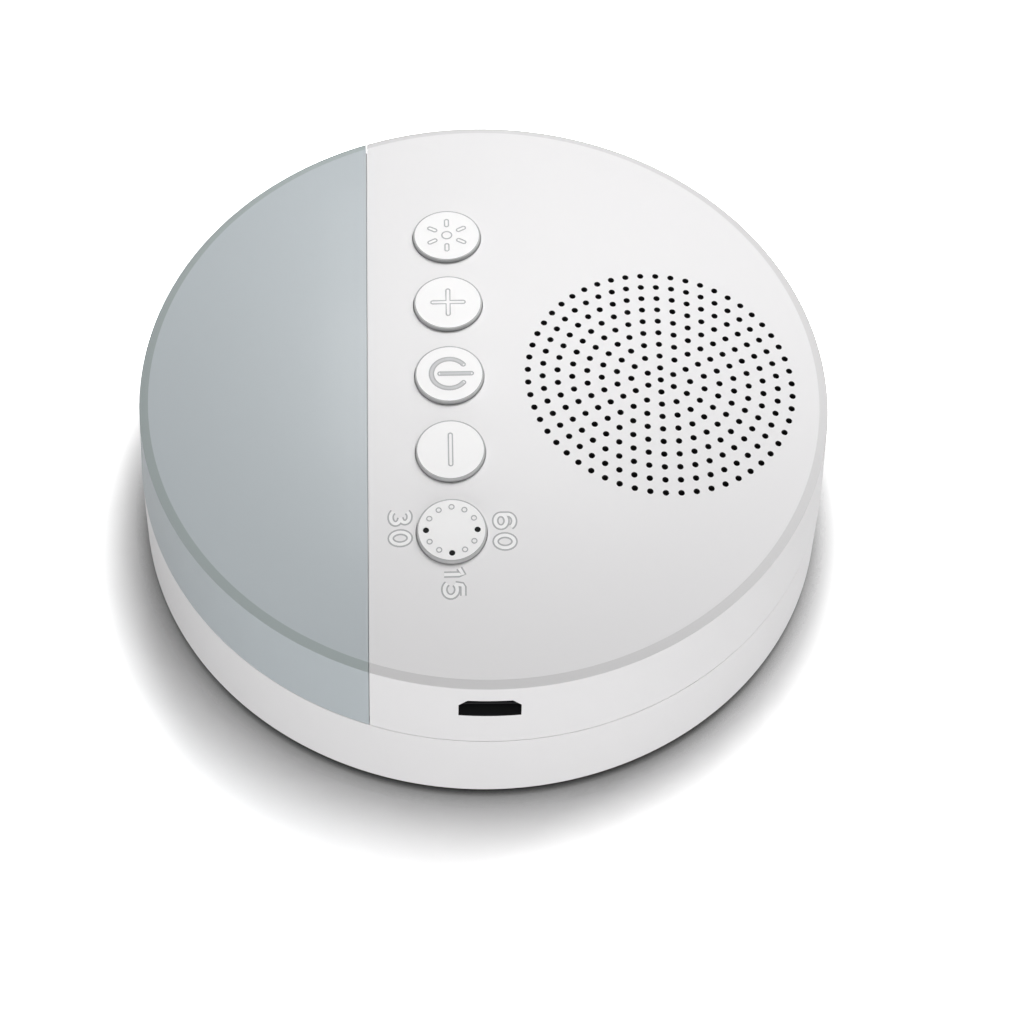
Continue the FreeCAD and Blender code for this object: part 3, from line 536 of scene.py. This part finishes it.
def makePanel():
    panel = spun("lightPanel", skinStations, "panel_grey")
    edge = casing["splitX"] - casing["splitGap"]
    ledge = {"wide": 2.1, "deep": 1.0, "below": 1}
    reach, low = casing["bore"] + ledge["deep"], casing["seamZ"] - ledge["below"]
    dome = domeArc(ledge["deep"] - casing["wall"], reach, 0, casing["innerSteps"])
    rebate = spun("panelRebate", stationsOf([(reach, low, 0), *dome, (0, low, 0)]), None)
    carve(rebate, slab("rebateEnd", -casing["clear"], casing["splitX"] - ledge["wide"]))
    carve(panel, slab("panelSplit", edge, casing["clear"]), rebate)
    shadeBy(panel, skinStations)
    tint(panel, "band_grey", onBand)
    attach(panel, "casing")
    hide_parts("light_panel")
    print("panel made")


def makeBase():
    tray = {"foot": 0.8, "heel": 47.15, "heelTop": 2.1, "heelRadius": 48.05, "lip": 45.85, "lipTop": 17.76,
            "lipInner": 44.55, "lipFoot": 12.16, "boreTop": 10.86, "floor": 2.8, "below": -1}
    slit = {"wide": 0.08, "deep": 0.6, "round": 0.1}
    seam = casing["seamZ"]
    stations = stationsOf([
        (0, tray["foot"], 0),
        (tray["heel"], tray["foot"], soft),
        (tray["heelRadius"], tray["heelTop"], soft),
        (casing["seamRadius"], seam - slit["wide"], slit["round"]),
        (casing["seamRadius"] - slit["deep"], seam - slit["wide"], 0),
        (casing["seamRadius"] - slit["deep"], seam, 0),
        (tray["lip"], seam, 0),
        (tray["lip"], tray["lipTop"], 0),
        (tray["lipInner"], tray["lipTop"], 0),
        (tray["lipInner"], tray["lipFoot"], 0),
        (casing["bore"], tray["boreTop"], 0),
        (casing["bore"], tray["floor"], 0),
        (0, tray["floor"], 0),
    ])
    base = spun("baseShell", stations, "white_shell")
    feet = {"circle": 38.0, "radius": 4.1, "ends": (tray["below"], 1.6), "sides": 64}
    reach = feet["circle"] * math.sqrt(0.5)
    cutters = [
        rod(f"foot{i}", feet["radius"], *feet["ends"], reach * sx, reach * sy, feet["sides"])
        for i, (sx, sy) in enumerate([(1, 1), (1, -1), (-1, 1), (-1, -1)])
    ]
    screws = {"radius": 2.9, "ends": (tray["below"], 20), "sides": 48,
              "places": [(19.2, 36.2), (19.2, -36.2), (-11.5, 38.5), (-11.5, -38.5)]}
    for i, (x, y) in enumerate(screws["places"]):
        cutters.append(rod(f"screwBore{i}", screws["radius"], *screws["ends"], x, y, screws["sides"]))
    carve(base, *cutters)
    shadeBy(base, stations)
    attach(base, "casing")
    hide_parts("base_shell")

    def keep(spot):
        slack = {"bore": 0.05, "floor": 0.02, "lip": 0.3, "above": 1}
        radius = math.hypot(spot.x, spot.y)
        bored = any(math.dist((spot.x, spot.y), p) < screws["radius"] + slack["bore"] for p in screws["places"])
        held = tray["floor"] + slack["floor"] < spot.z and radius < tray["lipInner"] + slack["lip"]
        return held or bored and spot.z > slack["above"]

    inside = insideOf("base_shell", "baseInside", keep)
    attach(inside, "casing")
    print("base made")


def onKey(thing, y, lift=0.0):
    # lays flat work, drawn about the origin, on the key's domed top
    for vertex in thing.data.vertices:
        x, across = keys["x"] + vertex.co.x / mm, y + vertex.co.y / mm
        high = domeZ(x, across, keys["proud"] + lift)
        vertex.co = Vector((x, across, high + vertex.co.z / mm)) * mm
    return thing


def makeCap(name, y):
    drawn = {"levels": 8, "edgeSteps": 6, "sharpest": 40}
    sides = 96
    edge, flat = keys["edge"], keys["radius"] - keys["edge"]
    inner = flat - keys["rim"]
    levels = [flat * k / drawn["levels"] for k in range(drawn["levels"])] + [inner, flat]
    profile = [(r, 0.0) for r in levels]
    for k in range(1, drawn["edgeSteps"] + 1):
        turn = math.pi / 2 * k / drawn["edgeSteps"]
        profile.append((flat + edge * math.sin(turn), edge * (math.cos(turn) - 1)))
    points, faces = [(keys["x"], y, domeZ(keys["x"], y, keys["proud"]))], []
    for r, drop in profile[1:] + [(keys["radius"], None)]:
        for k in range(sides):
            turn = 2 * math.pi * k / sides
            x, across = keys["x"] + r * math.cos(turn), y + r * math.sin(turn)
            high = keys["under"] if drop is None else domeZ(x, across, keys["proud"]) + drop
            points.append((x, across, high))
    rings = len(profile)
    for k in range(sides):
        j = (k + 1) % sides
        faces.append((0, 1 + k, 1 + j))
        for ring in range(rings - 1):
            low, high = 1 + ring * sides, 1 + (ring + 1) * sides
            faces.append((low + k, high + k, high + j, low + j))
    faces.append([1 + (rings - 1) * sides + k for k in range(sides)])
    cap = fromLists(f"cap_{name}", points, faces, "key_white")
    if name == "timer":
        windows = []
        for turn in timer["lit"]:
            angle = math.radians(turn)
            windows.append(rod(f"window{turn}", timer["dot"], *keys["holeEnds"],
                               keys["x"] + timer["circle"] * math.cos(angle),
                               y + timer["circle"] * math.sin(angle), timer["sides"]))
        carve(cap, *windows)
    # the cap's outer rim strip, rounded edge and side take a grey painted shade; the whole cap is the same
    # white plastic
    tint(cap, "key_side", lambda spot, normal: math.hypot(spot.x - keys["x"], spot.y - y) > inner)
    cap.data.shade_smooth()
    cap.data.set_sharp_from_angle(angle=math.radians(drawn["sharpest"]))
    stem = insideOf(f"button_{name}", f"stem_{name}", lambda spot: spot.z < keys["under"] - 0.01)
    for part in (cap, stem):
        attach(part, f"key_{name}")
    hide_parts(f"button_{name}")


timer = {"circle": 3.5, "dot": 0.43, "lit": (0, 180, 270), "count": 12, "sides": 32}
line = {"wide": 0.19, "proud": 0.03, "sunk": 0.05, "endSteps": 8}


def bands(name, loops, wide, material, closed=True, proud=None):
    # each path becomes a low flat-topped band
    proud = line["proud"] if proud is None else proud
    points, faces = [], []
    for loop in loops:
        count, start = len(loop), len(points)
        for i, here in enumerate(loop):
            here = Vector(here)
            before = Vector(loop[i - 1]) if closed or i else here
            after = Vector(loop[(i + 1) % count]) if closed or i < count - 1 else here
            way = (after - before).normalized()
            side = Vector((-way.y, way.x)) * wide / 2
            for edge, z in ((-1, -line["sunk"]), (-1, proud), (1, proud), (1, -line["sunk"])):
                points.append((*(here + side * edge), z))
        for i in range(count if closed else count - 1):
            now, then = start + 4 * i, start + 4 * ((i + 1) % count)
            faces += [(now + k, now + (k + 1) % 4, then + (k + 1) % 4, then + k) for k in range(4)]
        if not closed:
            faces += [range(start, start + 4), range(len(points) - 4, len(points))]
    return fromLists(name, points, [list(face) for face in faces], material)


def arc(centre, radius, start, end, count):
    turns = [math.radians(start + (end - start) * k / count) for k in range(count + 1)]
    return [(centre[0] + radius * math.cos(a), centre[1] + radius * math.sin(a)) for a in turns]


def ringOf(radius, count):
    return arc((0, 0), radius, 0, 360 - 360 / count, count - 1)


def rimOf(path, half):
    # the outline of a thick round-ended stroke
    steps = line["endSteps"]
    sides = []
    for i, here in enumerate(path):
        way = (Vector(path[min(i + 1, len(path) - 1)]) - Vector(path[max(i - 1, 0)])).normalized()
        sides.append((Vector(here), Vector((-way.y, way.x)) * half))
    turn = math.degrees(math.atan2(sides[-1][1].y, sides[-1][1].x))
    back = math.degrees(math.atan2(-sides[0][1].y, -sides[0][1].x))
    loop = [tuple(p + s) for p, s in sides[:-1]] + arc(path[-1], half, turn, turn - 180, steps)
    loop += [tuple(p - s) for p, s in reversed(sides[1:-1])]
    return loop + arc(path[0], half, back, back - 180, steps)


def roundTree(skipped):
    # copies of the given work, turned about a circle, with some places left out
    nodes, given = geometryTree("aroundCircle", {
        "Count": "NodeSocketInt", "Radius": "NodeSocketFloat", "Start": "NodeSocketFloat",
    })
    circle = nodes.add("GeometryNodeMeshCircle", {}, {"Vertices": given["Count"], "Radius": given["Radius"]})
    index = nodes.add("GeometryNodeInputIndex")
    kept = 1.0
    nearness = 0.1
    for place in skipped:
        kept = kept - nodes.maths("COMPARE", index, place, nearness)
    step = nodes.maths("DIVIDE", 2 * math.pi, given["Count"])
    facing = nodes.add("ShaderNodeCombineXYZ", {}, {"Z": index * step})
    sockets = {"Points": circle, "Instance": given["Geometry"], "Rotation": facing}
    if skipped:
        sockets["Selection"] = kept
    copies = nodes.add("GeometryNodeInstanceOnPoints", {}, sockets)
    turn = nodes.add("ShaderNodeCombineXYZ", {}, {"Z": given["Start"]})
    placed = nodes.add("GeometryNodeTransform", {}, {"Geometry": copies, "Rotation": turn})
    return closeTree(nodes, placed, "icon_line")


def makeIcons():
    icons = {"ray": 0.42, "rayAt": 2.35, "rays": 6, "raysFrom": 30, "half": 0.28, "ring": 0.7, "arm": 2.4,
             "bar": 2.35, "arc": 2.48, "arcEnds": (38, 322), "barEnds": (-1.3, 3.05)}
    half, wide = icons["half"], line["wide"]
    rays = bands("sunRays", [rimOf([(-icons["ray"], 0), (icons["ray"], 0)], half)], wide, "icon_line")
    runTree(rays, roundTree([]), {
        "Count": icons["rays"], "Radius": icons["rayAt"] * mm, "Start": math.radians(icons["raysFrom"]),
    })
    work = [(rays, "light"), (bands("sunRing", [ringOf(icons["ring"], 24)], wide, "icon_line"), "light")]
    plus = []
    for k in range(4):
        spin = Matrix.Rotation(math.radians(90 * k), 2)
        arm = [(half, -half), *arc((icons["arm"] - half, 0), half, -90, 90, line["endSteps"])]
        plus += [tuple(spin @ Vector(p)) for p in arm]
    work.append((bands("plusLine", [plus], wide, "icon_line"), "volume_up"))
    minus = rimOf([(0, -icons["bar"]), (0, icons["bar"])], half)
    work.append((bands("minusLine", [minus], wide, "icon_line"), "volume_down"))
    ringPath = arc((0, 0), icons["arc"], *icons["arcEnds"], 40)
    barPath = [(end, 0) for end in icons["barEnds"]]
    rims = [rimOf(ringPath, half), rimOf(barPath, half)]
    work.append((bands("powerLine", rims, wide, "icon_line"), "power"))
    for name, path in (("powerArcFill", ringPath), ("powerBarFill", barPath)):
        work.append((bands(name, [path], 2 * half - wide, "icon_fill", closed=False), "power"))
    dots = {"margin": 0.08, "thinner": 0.8}
    dot = bands("timerDots", [ringOf(timer["dot"] - dots["margin"], 16)], wide * dots["thinner"], "icon_line")
    skipped = [turn * timer["count"] // 360 for turn in timer["lit"]]
    runTree(dot, roundTree(skipped), {"Count": timer["count"], "Radius": timer["circle"] * mm, "Start": 0.0})
    work.append((dot, "timer"))
    for piece, key in work:
        onKey(piece, keyPlaces[key])
        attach(piece, f"key_{key}")
    print("icons made")


def makeLenses():
    # the three lamps' lenses, a little below the top of the timer key and a little smaller than their holes
    lens = {"radius": timer["dot"] * 0.97, "deep": 0.5, "lift": -0.27}
    mesh = bpy.data.meshes.new("timerLenses")
    joined = bmesh.new()
    for turn in timer["lit"]:
        way = Vector((math.cos(math.radians(turn)), math.sin(math.radians(turn)), 0))
        spot = Matrix.Translation(way * timer["circle"] * mm)
        bmesh.ops.create_cone(joined, cap_ends=True, segments=timer["sides"], radius1=lens["radius"] * mm,
                              radius2=lens["radius"] * mm, depth=lens["deep"] * mm, matrix=spot)
    joined.to_mesh(mesh)
    joined.free()
    lenses = onKey(newObject("timerLenses", mesh, "dark_lens"), keyPlaces["timer"], lens["lift"])
    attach(lenses, "key_timer")
    print("lenses made")


def bow(across, up, wide, high, start, end, count=20):
    return [(across + wide * x, up + high * y) for x, y in arc((0, 0), 1, start, end, count)]


def digitStrokes():
    # each digit's strokes in a unit square about the origin: the path, and whether it closes
    wholeTurn = (0, 345, 23)
    return {
        "0": [(bow(0, 0, 0.5, 0.5, *wholeTurn), True)],
        "1": [([(-0.5, 0.3), (0.5, 0.5), (0.5, 0.3), (0.5, -0.5)], False)],
        "3": [(bow(-0.04, 0.26, 0.44, 0.24, 150, -84), False),
              (bow(-0.02, -0.24, 0.5, 0.26, 84, -152), False)],
        "5": [([(0.42, 0.5), (-0.2, 0.5), (-0.32, 0.46), (-0.4, 0.08)], False),
              (bow(-0.02, -0.16, 0.5, 0.34, 138, -148), False)],
        "6": [(bow(0, -0.2, 0.5, 0.3, *wholeTurn), True),
              ([*bow(0.02, 0.18, 0.52, 0.32, 28, 180), (-0.5, -0.02), (-0.5, -0.2)], False)],
    }


def makeDigits():
    numbers = {
        "high": 2.55,
        "core": 0.46,
        "edge": 0.92,
        "lift": {"core": 0.035, "edge": 0.01},
        "perStroke": 0.004,
        "30": [("3", -11.9, -22.72, 1.95), ("0", -11.9, -25.88, 1.85)],
        "60": [("6", 2.3, -23.5, 1.95), ("0", 2.3, -26.65, 1.9)],
        "15": [("1", -4.74, -31.07, 0.92), ("5", -4.74, -33.8, 2.1)],
    }
    strokes = digitStrokes()
    # each number is a core in a painted highlight, lighter than the plastic it is made of, inside a grey edge
    # of painted shade round the raised strokes
    looks = (("edge", "icon_line"), ("core", "number_painted_highlight"))
    for word in ("30", "60", "15"):
        for i, (digit, x, y, wide) in enumerate(numbers[word]):
            for look, material in looks:
                for k, (path, closed) in enumerate(strokes[digit]):
                    flat = [(v * numbers["high"], -u * wide) for u, v in path]
                    lift = numbers["lift"][look] + numbers["perStroke"] * k
                    mark = bands(f"number{word}_{i}_{look}{k}", [flat], numbers[look], material, closed, lift)
                    for vertex in mark.data.vertices:
                        spot = vertex.co / mm + Vector((x, y, 0))
                        vertex.co = Vector((spot.x, spot.y, domeZ(spot.x, spot.y) + spot.z)) * mm
                    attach(mark, "casing")
    print("numbers made")


makeCover()
makePanel()
makeBase()
for keyName, keyY in keyPlaces.items():
    makeCap(keyName, keyY)
print("caps made")
makeIcons()
makeLenses()
makeDigits()


def makeStage():
    # the floor lights the object as plain paper would; the camera sees it white, with a painted shadow from
    # ambient occlusion that darkens it close to the object
    paper = {"half": 2500, "colour": 0.82, "shown": 4.5, "contact": 17, "deepen": 3.0}
    half = paper["half"]
    corners = [(-half, -half, 0), (half, -half, 0), (half, half, 0), (-half, half, 0)]
    floor = fromLists("floor", corners, [(0, 1, 2, 3)])
    material = bpy.data.materials.new("floor")
    material.use_nodes = True
    tree = material.node_tree
    nodes = Nodes(tree)
    tree.nodes.remove(tree.nodes["Principled BSDF"])
    plain = nodes.add("ShaderNodeBsdfDiffuse", {}, {"Color": (paper["colour"],) * 3 + (1,)})
    # painted shadow: camera rays see the floor darkened by ambient occlusion near the object, on top of the
    # lamps' own shadows
    paintedShadow = nodes.add("ShaderNodeAmbientOcclusion", {}, {"Distance": paper["contact"] * mm}, "AO")
    level = nodes.maths("POWER", paintedShadow, paper["deepen"]) * paper["shown"]
    white = nodes.add("ShaderNodeCombineColor", {}, {0: level, 1: level, 2: level})
    seen = nodes.add("ShaderNodeBsdfDiffuse", {}, {"Color": white})
    camera = nodes.add("ShaderNodeLightPath", output="Is Camera Ray")
    shown = nodes.add("ShaderNodeMixShader", {}, {0: camera, 1: plain, 2: seen})
    nodes.feed(tree.nodes["Material Output"].inputs["Surface"], shown)
    floor.data.materials.append(material)


def makeLights():
    lamps = {
        "nearBack": {"place": (5, 90, 190), "aim": (5, 20, 30), "size": (110, 110), "watts": 0.13},
        "backHigh": {"place": (60, 520, 620), "aim": (0, 0, 20), "size": (420, 420), "watts": 2.0},
        "backRight": {"place": (480, 480, 560), "aim": (0, 0, 15), "size": (420, 420), "watts": 2.28},
        "frontLow": {"place": (60, -900, 160), "aim": (0, 0, 15), "size": (500, 500), "watts": 3.16},
        "frontFloor": {"place": (60, -900, 60), "aim": (0, 0, 15), "size": (900, 100), "watts": 2.14},
        "rightFloor": {"place": (900, -300, 60), "aim": (0, 0, 15), "size": (900, 100), "watts": 1.97},
        "leftFloor": {"place": (-900, -300, 60), "aim": (0, 0, 15), "size": (900, 100), "watts": 2.43},
    }
    for name, lamp in lamps.items():
        data = bpy.data.lights.new(name, "AREA")
        data.shape = "RECTANGLE"
        data.size = lamp["size"][0] * mm
        data.size_y = lamp["size"][1] * mm
        data.energy = lamp["watts"]
        thing = bpy.data.objects.new(name, data)
        scene.collection.objects.link(thing)
        thing.location = Vector(lamp["place"]) * mm
        away = Vector(lamp["place"]) - Vector(lamp["aim"])
        thing.rotation_euler = away.to_track_quat("Z", "Y").to_euler()
    world = bpy.data.worlds.new("studio")
    scene.world = world
    world.use_nodes = True
    tree = world.node_tree
    nodes = Nodes(tree)
    room = {"strength": 0.02}
    tree.nodes["Background"].inputs["Color"].default_value = (1, 1, 1, 1)
    kinds = ("Camera", "Glossy", "Transmission")
    paths = [nodes.add("ShaderNodeLightPath", output=f"Is {kind} Ray") for kind in kinds]
    seen = nodes.maths("MINIMUM", paths[0] + paths[1] + paths[2], 1.0)
    level = seen * (1 - room["strength"]) + room["strength"]
    nodes.feed(tree.nodes["Background"].inputs["Strength"], level)


def makeCamera():
    shot = {"place": (-14.491, -364.156, 538.240), "aim": (3.511, -13.118, 19.348), "roll": 2.0473,
            "lens": 158.552, "sensor": 36}
    data = bpy.data.cameras.new("camera")
    data.lens = shot["lens"]
    data.sensor_width = shot["sensor"]
    thing = bpy.data.objects.new("camera", data)
    scene.collection.objects.link(thing)
    away = Vector(shot["place"]) - Vector(shot["aim"])
    turned = away.to_track_quat("Z", "Y").to_matrix() @ Matrix.Rotation(math.radians(shot["roll"]), 3, "Z")
    thing.matrix_world = Matrix.Translation(Vector(shot["place"]) * mm) @ turned.to_4x4()
    scene.camera = thing


makeStage()
makeLights()
makeCamera()
print("stage, lights and camera set")
